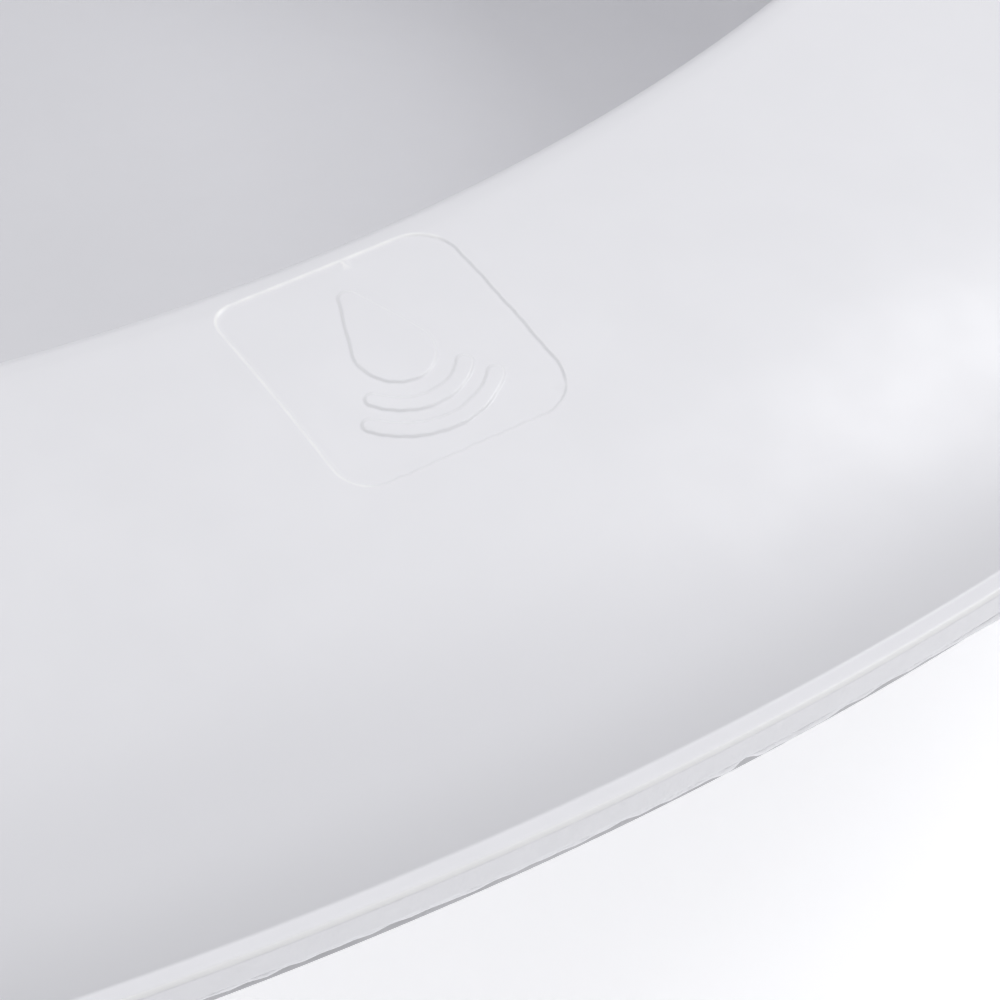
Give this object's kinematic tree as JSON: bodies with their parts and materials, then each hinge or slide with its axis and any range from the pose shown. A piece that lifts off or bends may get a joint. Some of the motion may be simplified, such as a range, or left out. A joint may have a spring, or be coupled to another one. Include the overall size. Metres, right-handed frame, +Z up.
{
  "type": "bedpan",
  "caption": "White plastic bedpan: a broad, outward sloping seat round an oval opening, welded at an outer flange to a shallow bowl with a foot ring, and a hollow grip at its front.",
  "frame": {"origin": "on the floor under the middle of the bedpan's box, on the bottom plane of the foot ring", "axes": "+X along the length, towards the grip; +Y across the width; +Z up"},
  "size_m": [0.4766, 0.294, 0.0837],
  "materials": {
    "seat_plastic": "smooth gloss moulded polypropylene, faintly cool white",
    "bowl_plastic": "smooth gloss moulded polypropylene, faintly cool white",
    "weld_plastic": "uneven, melted and set again"
  },
  "bodies": {
    "root": {"seat_shell": "seat_plastic", "bowl_shell": "bowl_plastic", "weld_bead": "weld_plastic"}
  },
  "joints": []
}
